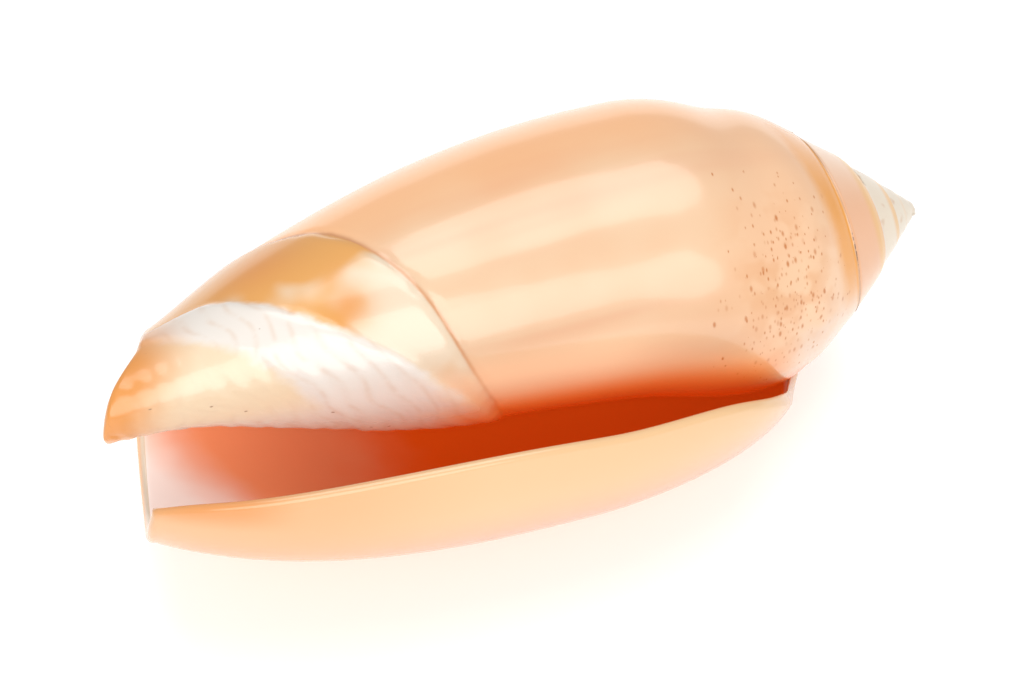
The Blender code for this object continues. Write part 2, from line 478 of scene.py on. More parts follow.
class Profile:
    """The curves that the shell's shape is read from."""

    suture_station = Curve(
        "Suture Station",
        [
            (0, 7.35), (50, 7.7), (100, 8.15), (160, 8.8), (220, 9.6), (260, 10.2), (300, 11.0),
            (360, 12.6),
        ],
    )
    suture_radius = Curve(
        "Suture Radius",
        [
            (0, 6.4), (50, 6.72), (100, 7.1), (160, 7.6), (220, 8.1), (260, 8.4), (300, 8.65),
            (360, 9.25),
        ],
    )
    inner_radius = Curve(
        "Inner Radius",
        [
            (6, 5.9), (8, 7.25), (10.5, 8.8), (12.5, 9.5), (15, 9.65), (18, 9.2), (22, 8.15),
            (27, 7.35), (31, 6.9), (35.5, 6.4), (38, 6.0), (42, 5.1), (46, 4.0), (50, 2.8),
            (54, 1.8), (57.5, 1.6), (61, 1.5),
        ],
    )
    middle_growth = Curve(
        "Middle Growth",
        [
            (-360, -0.16), (-180, -0.08), (-50, 0.0), (0, 0.15), (50, 0.36), (130, 0.66),
            (200, 0.76), (240, 0.77), (275, 0.79), (315, 0.96), (380, 1.0),
        ],
    )
    shoulder_growth = Curve(
        "Shoulder Growth",
        [
            (-360, -0.1), (-50, 0.0), (0, 0.0), (118, 0.0), (220, 0.45), (310, 0.94),
            (380, 1.0),
        ],
    )
    front_growth = Curve(
        "Front Growth",
        [
            (-360, -0.05), (-180, -0.03), (-50, 0.0), (0, 0.10), (50, 0.25), (90, 0.27),
            (130, 0.28), (180, 0.40), (230, 0.57), (280, 0.80), (330, 0.97), (380, 1.05),
        ],
    )
    shoulder_share = Curve(
        "Shoulder Share",
        [
            (6, 0.1), (9, 0.2), (12, 0.52), (13.5, 0.58), (15.7, 0.27), (18, 0.05), (20, 0),
        ],
    )
    front_share = Curve(
        "Front Share",
        [
            (14, 0), (26, 0.08), (32, 0.2), (38, 0.38), (44, 0.54), (50, 0.70), (54, 0.90),
            (57.6, 1.05), (61, 1.1),
        ],
    )
    margin = Curve(
        "Front Margin",
        [
            (0, 59.4), (40, 59.3), (60, 58.7), (80, 57.4), (100, 56.0), (120, 55.2),
            (150, 54.8), (180, 55.0), (240, 56.0), (300, 57.8), (335, 58.5), (360, 58.2),
        ],
    )
    lip_growth = Curve(
        "Lip Growth",
        [
            (0, 300), (0.03, 312), (0.05, 328), (0.08, 340), (0.12, 347), (0.2, 353),
            (0.32, 355.5), (0.45, 358), (0.6, 359.3), (0.76, 358.3), (0.9, 355), (0.96, 352),
            (1.0, 348),
        ],
    )
    back_room = Curve(
        "Back Room",
        [
            (60, 0), (80, 0.6), (110, 1.8), (180, 3.6), (240, 6.0), (300, 9.0),
        ],
    )
    front_edge = Curve("Front Edge", [(180, 55.0), (220, 53.0), (260, 50.0), (300, 46.0)])
    band_line = Curve(
        "Band Line",
        [
            (-60, 32.4), (-7, 34.6), (18, 36.1), (40, 37.3), (60, 38.6), (76, 40.0), (92, 41.5),
            (112, 43.8), (130, 46.4), (160, 51.0), (190, 55.6),
        ],
    )
    callus_line = Curve(
        "Callus Line",
        [
            (-60, 31.5), (-6, 35.4), (9, 37.4), (28, 39.9), (42, 42.3), (57, 44.7), (71, 46.9),
            (86, 49.3), (106, 52.6), (114, 54.9), (124, 58.0), (150, 64.0),
        ],
    )
    tongue_line = Curve(
        "Tongue Line",
        [
            (-30, 43.0), (12, 46.1), (48, 49.4), (66, 51.6), (80, 53.5), (103, 56.5),
            (130, 61.0),
        ],
    )


class ShellRules:
    """The shell's shape as node groups, each a function of growth, station and the like."""

    def __init__(self, sizes: ShellSizes, relief: Relief) -> None:
        """Builds every rule.

        Args:
            sizes: the driving dimensions.
            relief: the heights of the fine relief.
        """
        self.sizes = sizes
        self.relief = relief
        self.suture_station = self._spiral("Suture Station At", Profile.suture_station)
        self.suture_radius = self._spiral("Suture Radius At", Profile.suture_radius)
        self.lip_radius = Rule("Lip Radius", ["Station"], ["Radius"], self._lip_radius)
        pair = ["Growth", "Station"]
        self.whorl_radius = Rule("Whorl Radius", pair, ["Radius"], self._whorl_radius)
        self.covered_radius = Rule("Covered Radius", pair, ["Radius"], self._covered_radius)
        self.body_radius = Rule("Body Radius", pair, ["Radius"], self._body_radius)
        self.strands = Rule("Strands", pair, ["Strands"], self._strands)
        self.fine_relief = Rule("Fine Relief", pair, ["Height"], self._fine_relief)
        behind = ["Behind", "Station", "Wall", "Lip Wall"]
        self.floor_radius = Rule("Floor Radius", behind, ["Radius"], self._floor_radius)
        self.ceiling_radius = Rule(
            "Ceiling Radius", behind + ["Near"], ["Radius"], self._ceiling_radius
        )

    def _spiral(self, name: str, curve: Curve) -> Rule:
        """A rule that follows the curve on the body whorl and shrinks steadily on the spire.

        Args:
            name: the rule's name.
            curve: the value over the body whorl.

        Returns:
            The rule, read at a growth.
        """
        shrink = math.log(self.sizes.spire_gain) / 360

        def body(graph: Graph, growth: Field) -> List[Field]:
            """The curve, times the gain of each turn before it."""
            return [curve(growth) * exp(graph.math("MINIMUM", growth, 0.0) * shrink)]

        return Rule(name, ["Growth"], ["Length"], body)

    def _lip_radius(self, graph: Graph, station: Field) -> List[Field]:
        """Radius of the outer lip, an oval with a fuller front half.

        Args:
            graph: where the nodes are added.
            station: distance from the apex along the axis.

        Returns:
            The radius.
        """
        sizes = self.sizes
        away = graph.math("ABSOLUTE", station - sizes.body_station)
        back = graph.math("POWER", away / sizes.back_span, 2.0)
        front = graph.math("POWER", away / sizes.front_span, sizes.front_power)
        ahead = graph.math("GREATER_THAN", station, sizes.body_station)
        inside = graph.math("MAXIMUM", 1.0 - graph.mix(ahead, back, front), 0.0)
        return [graph.math("SQRT", inside) * sizes.body_radius]

    def _whorl_radius(self, graph: Graph, growth: Field, station: Field) -> List[Field]:
        """The outside from its suture on, also where a later whorl covers it.

        Args:
            graph: where the nodes are added.
            growth: degrees that the lip has swept.
            station: distance from the apex along the axis.

        Returns:
            The radius.
        """
        front, shoulder = Profile.front_share(station), Profile.shoulder_share(station)
        share = Profile.middle_growth(growth) * (1.0 - front - shoulder)
        share += Profile.front_growth(growth) * front
        share += Profile.shoulder_growth(growth) * shoulder
        inner = Profile.inner_radius(station)
        swollen = graph.mix(share, inner, self.lip_radius(graph, station))
        past = graph.math("MAXIMUM", station - self.suture_station(graph, growth), 0.0)
        rise = 1.0 - exp(past / -self.sizes.shoulder_rise)
        return [graph.mix(rise, self.suture_radius(graph, growth), swollen)]

    def _covered_radius(self, graph: Graph, growth: Field, station: Field) -> List[Field]:
        """A whorl whose far edge the next turn covers: spire, parietal wall and columella.

        Args:
            graph: where the nodes are added.
            growth: degrees that the lip has swept.
            station: distance from the apex along the axis.

        Returns:
            The radius.
        """
        near, far = self.suture_station(graph, growth), self.suture_station(graph, growth + 360)
        start, end = self.suture_radius(graph, growth), self.suture_radius(graph, growth + 360)
        whorl = self.whorl_radius(graph, growth, station)
        short = end - self.whorl_radius(graph, growth, far)
        beyond = whorl + short * exp((far - station) / 3)
        way = (station - near) / (far - near)
        bulge = (far - near) * 0.1 * (1.0 - exp(way * -5)) * (1.0 - way)
        cone = graph.mix(way, start, end) + bulge
        late = graph.ramp(growth, -300, 0)
        before = graph.mix(late, cone, whorl + short * way * way)
        return [graph.mix(graph.math("GREATER_THAN", station, far), before, beyond)]

    def _body_radius(self, graph: Graph, growth: Field, station: Field) -> List[Field]:
        """The body whorl, which starts as the whorl before it ends.

        Args:
            graph: where the nodes are added.
            growth: degrees that the lip has swept.
            station: distance from the apex along the axis.

        Returns:
            The radius.
        """
        carried = self.covered_radius(graph, 0, station) - self.whorl_radius(graph, 0, station)
        fading = 1.0 - graph.ramp(growth, 0, 90)
        return [self.whorl_radius(graph, growth, station) + carried * fading]

    def _strands(self, graph: Graph, growth: Field, station: Field) -> List[Field]:
        """How many strands lie behind this point of the callus."""
        slant = graph.mix(graph.ramp(station, 34, 56, smooth=False), 0.088, 0.028)
        return [(station - slant * growth) / self.relief.strand_pitch]

    def _fine_relief(self, graph: Graph, growth: Field, station: Field) -> List[Field]:
        """Height of the callus, its strands, the front band's groove and the suture's lip.

        Args:
            graph: where the nodes are added.
            growth: degrees that the lip has swept.
            station: distance from the apex along the axis.

        Returns:
            The height over the smooth skin.
        """
        relief = self.relief
        angle = graph.math("RADIANS", growth)
        around = graph.node("ShaderNodeCombineXYZ")
        graph.feed(around.inputs["X"], station / 8)
        graph.feed(around.inputs["Y"], graph.math("COSINE", angle))
        graph.feed(around.inputs["Z"], graph.math("SINE", angle))
        wander = self._noise(graph, around.outputs[0], 1.6)
        ripple = self._noise(graph, around.outputs[0], 5.0)

        shown = graph.ramp(growth, -70, -25)
        band = station - Profile.band_line(growth) + ripple * 0.25
        groove = bell(band, 0.26) * -relief.band_groove
        step = graph.ramp(band, -0.1, 0.9) * relief.band_step

        callus = station - Profile.callus_line(growth) + ripple * 0.25 + wander * 0.4
        raised = graph.ramp(callus, -0.1, 1.1) * relief.callus_step
        tongue = station - Profile.tongue_line(growth) + wander * 0.5
        folded = graph.ramp(tongue, -0.35, 0.35) * -relief.tongue_step
        count = self.strands(graph, growth, station) + wander * 0.55
        wave = graph.math("COSINE", count * math.tau) * 0.7
        wave += graph.math("COSINE", (count * 1.6 + wander * 0.5) * math.tau) * 0.3
        reach = graph.ramp(callus, 0.2, 2.2) * graph.ramp(growth, 82, 40)
        plaited = wave * reach * relief.strand
        front = (groove + step + raised + folded + plaited) * shown * graph.ramp(growth, 215, 150)

        below = graph.math("MAXIMUM", station - self.suture_station(graph, growth), 0.0)
        near = below / 0.45
        lip = near * exp(1.0 - near) * relief.suture_lip * graph.ramp(growth, -500, -200)
        uneven = wander * 0.02 * graph.ramp(growth, -400, 0)
        return [front + lip + uneven]

    @staticmethod
    def _noise(graph: Graph, place: bpy.types.NodeSocket, scale: float) -> Field:
        """Smooth noise from about -1 to 1.

        Args:
            graph: where the nodes are added.
            place: where it is read.
            scale: how many clouds there are in a unit of length.

        Returns:
            The noise.
        """
        noise = graph.node("ShaderNodeTexNoise", noise_dimensions="3D")
        graph.feed(noise.inputs["Vector"], place)
        noise.inputs["Scale"].default_value = scale
        noise.inputs["Detail"].default_value = 1.0
        value = Field(graph, noise.outputs[0])
        return (value - 0.5) * 3.0

    def _floor_radius(
        self, graph: Graph, behind: Field, station: Field, wall: Field, lip_wall: Field
    ) -> List[Field]:
        """Parietal wall and columella, which spread to meet the wall at the closed front.

        Args:
            graph: where the nodes are added.
            behind: degrees behind the lip's last growth.
            station: distance from the apex along the axis.
            wall: thickness of the wall away from the lip.
            lip_wall: thickness of the wall at the lip's edge.

        Returns:
            The radius.
        """
        radius = self.covered_radius(graph, -behind, station)
        edge = Profile.front_edge(behind)
        growth = 360 - behind
        thick = self.wall_at(graph, growth, wall, lip_wall)
        short = self.body_radius(graph, growth, edge) - thick
        short = short - self.covered_radius(graph, -behind, edge)
        spread = short * graph.ramp(behind, 110, 180)
        left = graph.math("MAXIMUM", edge - station, 0.0)
        relief = self.fine_relief(graph, -behind, station)
        return [radius + spread * exp(left / -2.5) + relief]

    def _ceiling_radius(
        self, graph: Graph, behind: Field, station: Field, wall: Field, lip_wall: Field, near: Field
    ) -> List[Field]:
        """Inner face of the outer wall, from the hollow's back corner on.

        Args:
            graph: where the nodes are added.
            behind: degrees behind the lip's last growth.
            station: distance from the apex along the axis.
            wall: thickness of the wall away from the lip.
            lip_wall: thickness of the wall at the lip's edge.
            near: station of the hollow's back corner.

        Returns:
            The radius.
        """
        growth = 360 - behind
        thick = self.wall_at(graph, growth, wall, lip_wall)
        inner = self.body_radius(graph, growth, station) - thick
        corner = self.floor_radius(graph, behind, near, wall, lip_wall)
        risen = graph.mix(1.0 - exp((near - station) / 0.9), corner, inner)
        floor = self.floor_radius(graph, behind, station, wall, lip_wall)
        return [graph.mix(graph.ramp(behind, 288, self.sizes.hollow_depth), risen, floor)]

    @staticmethod
    def wall_at(graph: Graph, growth: Field, wall: Value, lip_wall: Value) -> Field:
        """Thickness of the outer wall, thinner towards the lip."""
        return graph.mix(graph.ramp(growth, 250, 350), wall, lip_wall)


class Mark(Enum):
    """The values that the finish reads from the skin."""

    GROWTH = "growth"
    STATION = "station"
    BELOW = "below"
    DEPTH = "depth"
    WALL = "wall"
    BAND = "band"
    CALLUS = "callus"
    TONGUE = "tongue"
    STRANDS = "strands"


@dataclass
class SkinPoint:
    """A point of the skin: where it lies in the spiral, and how deep in the aperture."""

    growth: Field
    station: Field
    radius: Field
    depth: Value = 0.0
    wall: Value = 0.0


class ShellSkin:
    """Builds the Geometry Nodes tree of the shell's skin from its patches."""

    RIM_WIDTH = 1.4
    SEAM = 0.0012
    CLOSED_BEHIND = 180.0
    WALL_MM_PER_DEGREE = 0.21
    COLUMELLA_MM_PER_DEGREE = 0.13
    INPUTS: Tuple[Tuple[str, str], ...] = (
        ("Turn Columns", "NodeSocketInt"),
        ("Spire Rows", "NodeSocketInt"),
        ("Body Rows", "NodeSocketInt"),
        ("Rim Steps", "NodeSocketInt"),
        ("Wall", "NodeSocketFloat"),
        ("Lip Wall", "NodeSocketFloat"),
        ("Upward", "NodeSocketFloat"),
        ("Dip", "NodeSocketFloat"),
        ("Rest Point", "NodeSocketVector"),
        ("Finish", "NodeSocketMaterial"),
    )

    def __init__(self, sizes: ShellSizes, rules: ShellRules) -> None:
        """Builds the tree.

        Args:
            sizes: the driving dimensions.
            rules: the node groups that give the shape.
        """
        self.sizes = sizes
        self.rules = rules
        self.tree = bpy.data.node_groups.new("Shell Skin", "GeometryNodeTree")
        face = self.tree.interface
        face.new_socket("Geometry", in_out="INPUT", socket_type="NodeSocketGeometry")
        face.new_socket("Geometry", in_out="OUTPUT", socket_type="NodeSocketGeometry")
        for name, kind in self.INPUTS:
            face.new_socket(name, in_out="INPUT", socket_type=kind)
        self.graph = Graph(self.tree)
        self.start = self.graph.node("NodeGroupInput")
        self.given = {name: Field(self.graph, self.start.outputs[name]) for name, _ in self.INPUTS}
        self._build()

    def _build(self) -> None:
        """Joins the patches, closes their borders, lays the shell down and dresses it."""
        graph = self.graph
        joined = graph.node("GeometryNodeJoinGeometry")
        patches = (
            self._spire, self._body, self._ceiling, self._floor,
            self._lip_rim, self._wall_rim, self._tip_rim,
        )
        for patch in patches:
            graph.tree.links.new(patch(), joined.inputs[0])
        merged = graph.node("GeometryNodeMergeByDistance")
        graph.feed(merged.inputs["Geometry"], joined.outputs[0])
        merged.inputs["Distance"].default_value = self.SEAM
        laid = self._lay_down(merged.outputs[0])
        real = graph.node("GeometryNodeRealizeInstances")
        graph.feed(real.inputs[0], laid)
        dressed = graph.node("GeometryNodeSetMaterial")
        graph.feed(dressed.inputs["Geometry"], real.outputs[0])
        graph.feed(dressed.inputs["Material"], self.given["Finish"])
        end = graph.node("NodeGroupOutput")
        graph.feed(end.inputs[0], dressed.outputs[0])

    def _lay_down(self, geometry: bpy.types.NodeSocket) -> bpy.types.NodeSocket:
        """Turns the shell onto its back, in metres, over the given point of rest.

        Args:
            geometry: the joined skin, in millimetres.

        Returns:
            The skin at rest, in metres.
        """
        graph = self.graph
        turn = graph.node("ShaderNodeCombineXYZ")
        graph.feed(turn.inputs["X"], graph.math("RADIANS", self.given["Upward"] + 90))
        graph.feed(turn.inputs["Y"], graph.math("RADIANS", self.given["Dip"]))
        laid = graph.node("GeometryNodeTransform")
        graph.feed(laid.inputs["Geometry"], geometry)
        graph.feed(laid.inputs["Rotation"], turn.outputs[0])
        laid.inputs["Scale"].default_value = (MM, MM, MM)
        box = graph.node("GeometryNodeBoundBox")
        graph.feed(box.inputs[0], laid.outputs[0])
        middle = graph.vector("ADD", box.outputs["Min"], box.outputs["Max"])
        middle = graph.vector("MULTIPLY", middle.outputs[0], (0.5, 0.5, 0.0))
        low = graph.vector("MULTIPLY", box.outputs["Min"], (0.0, 0.0, 1.0))
        foot = graph.vector("ADD", middle.outputs[0], low.outputs[0])
        shift = graph.vector("SUBTRACT", self.given["Rest Point"], foot.outputs[0])
        moved = graph.node("GeometryNodeTransform")
        graph.feed(moved.inputs["Geometry"], laid.outputs[0])
        graph.feed(moved.inputs["Translation"], shift.outputs[0])
        return moved.outputs[0]

    def _grid(self, columns: Value, rows: Value) -> Tuple[bpy.types.NodeSocket, Field, Field]:
        """A flat grid and its two coordinates, each from 0 to 1.

        Args:
            columns: how many columns of faces.
            rows: how many rows of faces.

        Returns:
            The grid, the share across its columns and the share across its rows.
        """
        graph = self.graph
        grid = graph.node("GeometryNodeMeshGrid")
        for name, count in (("Vertices X", columns), ("Vertices Y", rows)):
            graph.feed(grid.inputs[name], count + 1)
        for name in ("Size X", "Size Y"):
            grid.inputs[name].default_value = 1.0
        split = graph.node("ShaderNodeSeparateXYZ")
        graph.feed(split.inputs[0], graph.node("GeometryNodeInputPosition").outputs[0])
        across, along = (Field(graph, split.outputs[k]) + 0.5 for k in range(2))
        return grid.outputs["Mesh"], across, along

    def _place(self, growth: Field, station: Field, radius: Field) -> bpy.types.NodeSocket:
        """The point at that growth, station and radius, in millimetres.

        Args:
            growth: degrees that the lip has swept.
            station: distance from the apex along the axis.
            radius: distance from the axis.

        Returns:
            The point.
        """
        graph = self.graph
        angle = graph.math("RADIANS", growth)
        point = graph.node("ShaderNodeCombineXYZ")
        graph.feed(point.inputs["X"], -station)
        graph.feed(point.inputs["Y"], radius * graph.math("COSINE", angle))
        graph.feed(point.inputs["Z"], -(radius * graph.math("SINE", angle)))
        return point.outputs[0]

    def _patch(
        self,
        grid: bpy.types.NodeSocket,
        point: SkinPoint,
        position: Optional[bpy.types.NodeSocket] = None,
        flip: bool = False,
    ) -> bpy.types.NodeSocket:
        """Marks a grid with the values of its points and bends it to their places.

        Args:
            grid: the flat grid.
            point: the fields of its points.
            position: where they go, if not simply where their radius says.
            flip: whether its faces are turned round.

        Returns:
            The bent patch.
        """
        graph, rules = self.graph, self.rules
        growth, station = point.growth, point.station
        marks = {
            Mark.GROWTH: growth,
            Mark.STATION: station,
            Mark.BELOW: station - rules.suture_station(graph, growth),
            Mark.DEPTH: point.depth,
            Mark.WALL: point.wall,
            Mark.BAND: station - Profile.band_line(growth),
            Mark.CALLUS: station - Profile.callus_line(growth),
            Mark.TONGUE: station - Profile.tongue_line(growth),
            Mark.STRANDS: rules.strands(graph, growth, station),
        }
        for mark, value in marks.items():
            store = graph.node(
                "GeometryNodeStoreNamedAttribute", data_type="FLOAT", domain="CORNER"
            )
            graph.feed(store.inputs["Geometry"], grid)
            store.inputs["Name"].default_value = mark.value
            graph.feed(store.inputs["Value"], value)
            grid = store.outputs[0]
        if position is None:
            position = self._place(growth, station, point.radius)
        bent = graph.node("GeometryNodeSetPosition")
        graph.feed(bent.inputs["Geometry"], grid)
        graph.feed(bent.inputs["Position"], position)
        if not flip:
            return bent.outputs[0]
        turned = graph.node("GeometryNodeFlipFaces")
        graph.feed(turned.inputs[0], bent.outputs[0])
        return turned.outputs[0]

    def _relief(self, growth: Field, station: Field) -> Field:
        """The fine relief at a point."""
        return self.rules.fine_relief(self.graph, growth, station)

    def _row_share(self, row: Field) -> Tuple[Field, Field]:
        """The share of the way from suture to margin of a row of the body.

        Args:
            row: the share of the body's rows.

        Returns:
            That share, and the share past the rows that the next whorl hides.
        """
        graph, rules = self.graph, self.rules
        hidden, rows = self.given["Spire Rows"], self.given["Body Rows"]
        first, last = (rules.suture_station(graph, self._constant(turn)) for turn in (0.0, 360.0))
        shoulder = (last - first) / (float(Profile.margin.at(0)) - first)
        count = row * rows
        early = graph.math("MINIMUM", count / hidden, 1.0)
        late = graph.math("MAXIMUM", count - hidden, 0.0) / (rows - hidden)
        return shoulder * early + (1.0 - shoulder) * late, late

    def _constant(self, value: float) -> Field:
        """A field that is the same number everywhere.

        Args:
            value: the number.

        Returns:
            The field.
        """
        made = self.graph.node("ShaderNodeValue")
        made.outputs[0].default_value = value
        return Field(self.graph, made.outputs[0])

    def _slanted(self, nominal: Field, share: Field) -> Field:
        """Growth of a column, the last ones being drawn out to the slanting lip edge.

        Args:
            nominal: the column's growth before it is drawn out.
            share: the share of the way from the suture to the margin.

        Returns:
            The growth after it is drawn out.
        """
        late = self.graph.math("MAXIMUM", nominal - self.sizes.free_start, 0.0)
        drawn = late / (self.sizes.lip_start - self.sizes.free_start)
        return nominal + (Profile.lip_growth(share) - self.sizes.lip_start) * drawn

    def _outside(self, growth: Field, share: Field) -> SkinPoint:
        """The outside of the body whorl at a growth and a share of the way to the margin.

        Args:
            growth: degrees that the lip has swept.
            share: the share of the way from the suture to the margin.

        Returns:
            The points.
        """
        graph, rules = self.graph, self.rules
        near = rules.suture_station(graph, growth)
        station = near + (Profile.margin(growth) - near) * share
        radius = rules.body_radius(graph, growth, station) + self._relief(growth, station)
        return SkinPoint(growth, station, radius)

    def _hollow(self, behind: Field, share: Field) -> SkinPoint:
        """The inner face of the outer wall, at degrees behind the lip's last growth.

        Args:
            behind: degrees behind the lip's last growth.
            share: the share of the way from the suture to the margin.

        Returns:
            The points.
        """
        graph, rules = self.graph, self.rules
        growth = 360 - behind
        near = rules.suture_station(graph, growth) + Profile.back_room(behind)
        closed = graph.math("GREATER_THAN", behind, self.CLOSED_BEHIND)
        far = graph.mix(closed, Profile.margin(growth), Profile.front_edge(behind))
        station = graph.mix(share, near, far)
        walls = self.given["Wall"], self.given["Lip Wall"]
        radius = rules.ceiling_radius(graph, behind, station, *walls, near)
        edge = Profile.lip_growth(share)
        depth = (edge - growth) * self.WALL_MM_PER_DEGREE + self.RIM_WIDTH
        return SkinPoint(growth, station, radius, depth, 1.0)

    def _columella(self, behind: Field, share: Field) -> SkinPoint:
        """The parietal wall and the columella, at degrees before the body whorl's start.

        Args:
            behind: degrees before the body whorl's start.
            share: the share of the way from the suture to the margin.

        Returns:
            The points.
        """
        graph, rules = self.graph, self.rules
        near = rules.suture_station(graph, 360 - behind) + Profile.back_room(behind)
        closed = graph.math("GREATER_THAN", behind, self.CLOSED_BEHIND)
        far = graph.mix(closed, Profile.margin(behind), Profile.front_edge(behind))
        station = graph.mix(share, near, far)
        radius = rules.floor_radius(
            graph, behind, station, self.given["Wall"], self.given["Lip Wall"]
        )
        return SkinPoint(-behind, station, radius, behind * self.COLUMELLA_MM_PER_DEGREE, 0.0)

    def _spire(self) -> bpy.types.NodeSocket:
        """The whorls of the spire, from the first to the start of the body whorl.

        Returns:
            The bent patch.
        """
        graph, rules, turns = self.graph, self.rules, float(self.sizes.spire_turns)
        grid, across, along = self._grid(
            self.given["Turn Columns"] * turns, self.given["Spire Rows"]
        )
        growth = (across - 1.0) * (360 * turns)
        near, far = rules.suture_station(graph, growth), rules.suture_station(graph, growth + 360)
        station = graph.mix(along, near, far)
        radius = rules.covered_radius(graph, growth, station) + self._relief(growth, station)
        return self._patch(grid, SkinPoint(growth, station, radius))

    def _body(self) -> bpy.types.NodeSocket:
        """The outside of the body whorl.

        Returns:
            The bent patch.
        """
        columns = self.given["Turn Columns"] * (self.sizes.lip_start / 360)
        grid, across, along = self._grid(columns, self.given["Body Rows"])
        share, _ = self._row_share(along)
        growth = self._slanted(across * self.sizes.lip_start, share)
        return self._patch(grid, self._outside(growth, share))

    def _ceiling(self) -> bpy.types.NodeSocket:
        """The inner face of the outer wall, from the lip to where the hollow ends.

        Returns:
            The bent patch.
        """
        sizes, graph = self.sizes, self.graph
        span = sizes.hollow_depth - (360 - sizes.lip_start)
        grid, across, along = self._grid(
            self.given["Turn Columns"] * (span / 360), self.given["Body Rows"]
        )
        share, late = self._row_share(along)
        nominal = sizes.lip_start - across * span
        behind = 360 - self._slanted(nominal, share)
        share = graph.mix(graph.ramp(behind, 150, 250), share, late)
        return self._patch(grid, self._hollow(behind, share))

    def _floor(self) -> bpy.types.NodeSocket:
        """The parietal wall and the columella inside the aperture.

        Returns:
            The bent patch.
        """
        depth = self.sizes.hollow_depth
        rows = self.given["Body Rows"] - self.given["Spire Rows"]
        grid, across, along = self._grid(self.given["Turn Columns"] * (depth / 360), rows)
        return self._patch(grid, self._columella(across * depth, along))

    def _rim(
        self,
        grid: bpy.types.NodeSocket,
        turn: Field,
        outer: SkinPoint,
        inner: SkinPoint,
        heading: bpy.types.NodeSocket,
        throat: bool,
    ) -> bpy.types.NodeSocket:
        """Bends a grid over the edge of a wall, in an arc from the outer point to the inner one.

        Args:
            grid: the flat grid.
            turn: the share of the way over the edge.
            outer: the points on the outside.
            inner: the points on the inside.
            heading: the direction in which the edge points.
            throat: whether the inside is the outer wall's, and not the columella's.

        Returns:
            The bent rim.
        """
        graph = self.graph
        first = self._place(outer.growth, outer.station, outer.radius)
        second = self._place(inner.growth, inner.station, inner.radius)
        total = graph.vector("ADD", first, second)
        middle = graph.vector("SCALE", total.outputs[0])
        apart = graph.vector("SUBTRACT", first, second)
        half = graph.vector("SCALE", apart.outputs[0])
        for node in (middle, half):
            node.inputs["Scale"].default_value = 0.5
        length = Field(graph, graph.vector("LENGTH", half.outputs[0]).outputs["Value"])
        lean = Field(graph, graph.vector("DOT_PRODUCT", heading, half.outputs[0]).outputs["Value"])
        lean = lean / graph.math("MAXIMUM", length * length, 1e-9)
        leaning = graph.vector("SCALE", half.outputs[0])
        graph.feed(leaning.inputs["Scale"], lean)
        square = graph.vector("SUBTRACT", heading, leaning.outputs[0])
        side = graph.vector("NORMALIZE", square.outputs[0])
        angle = turn * math.pi
        swing = graph.vector("SCALE", half.outputs[0])
        graph.feed(swing.inputs["Scale"], graph.math("COSINE", angle))
        reach = graph.vector("SCALE", side.outputs[0])
        bulge = graph.math("MINIMUM", length, self.sizes.rim_bulge)
        graph.feed(reach.inputs["Scale"], graph.math("SINE", angle) * bulge)
        arc = graph.vector("ADD", swing.outputs[0], reach.outputs[0])
        place = graph.vector("ADD", middle.outputs[0], arc.outputs[0])
        depth = turn * self.RIM_WIDTH if throat else inner.depth * turn
        point = SkinPoint(
            outer.growth if throat else graph.mix(turn, outer.growth, inner.growth),
            graph.mix(turn, outer.station, inner.station),
            outer.radius,
            depth,
            turn if throat else 0.0,
        )
        return self._patch(grid, point, place.outputs[0])

    def _lip_heading(self, outer: SkinPoint, share: Field) -> bpy.types.Node:
        """The direction in which the lip grows.

        Args:
            outer: the points on the outside of the edge.
            share: the share of the way from the suture to the margin.

        Returns:
            The node that gives the direction, of length 1.
        """
        before = self._outside(outer.growth - 1.0, share)
        now = self._place(outer.growth, outer.station, outer.radius)
        step = self.graph.vector(
            "SUBTRACT", now, self._place(before.growth, before.station, before.radius)
        )
        return self.graph.vector("NORMALIZE", step.outputs[0])

    def _turned_front(self, heading: bpy.types.Node, share: Value) -> bpy.types.NodeSocket:
        """A heading turned by that share towards the front, along the axis.

        Args:
            heading: the node that gives the heading.
            share: how far it is turned.

        Returns:
            The turned heading, of length 1.
        """
        graph = self.graph
        mixed = graph.node("ShaderNodeMix", data_type="VECTOR")
        graph.feed(mixed.inputs["Factor"], share)
        graph.feed(mixed.inputs[4], heading.outputs[0])
        mixed.inputs[5].default_value = (-1.0, 0.0, 0.0)
        return graph.vector("NORMALIZE", mixed.outputs[1]).outputs[0]

    def _lip_rim(self) -> bpy.types.NodeSocket:
        """The edge of the outer lip, from the suture to its front corner.

        Returns:
            The bent rim.
        """
        grid, across, along = self._grid(self.given["Rim Steps"], self.given["Body Rows"])
        share, _ = self._row_share(along)
        edge = Profile.lip_growth(share)
        outer, inner = self._outside(edge, share), self._hollow(360 - edge, share)
        corner = self.graph.ramp(share, 0.95, 1.0) * 0.5
        heading = self._turned_front(self._lip_heading(outer, share), corner)
        return self._rim(grid, across, outer, inner, heading, throat=True)

    def _wall_rim(self) -> bpy.types.NodeSocket:
        """The front edge of the outer wall, round the siphonal notch.

        Returns:
            The bent rim.
        """
        sizes, graph = self.sizes, self.graph
        span = sizes.lip_start - self.CLOSED_BEHIND
        grid, across, along = self._grid(
            self.given["Turn Columns"] * (span / 360), self.given["Rim Steps"]
        )
        nominal = across * span + self.CLOSED_BEHIND
        share = self._constant(1.0)
        growth = self._slanted(nominal, share)
        outer, inner = self._outside(growth, share), self._hollow(360 - growth, share)
        corner = 1.0 - graph.ramp(nominal, 285, 300) * 0.5
        heading = self._turned_front(self._lip_heading(outer, share), corner)
        return self._rim(grid, along, outer, inner, heading, throat=True)

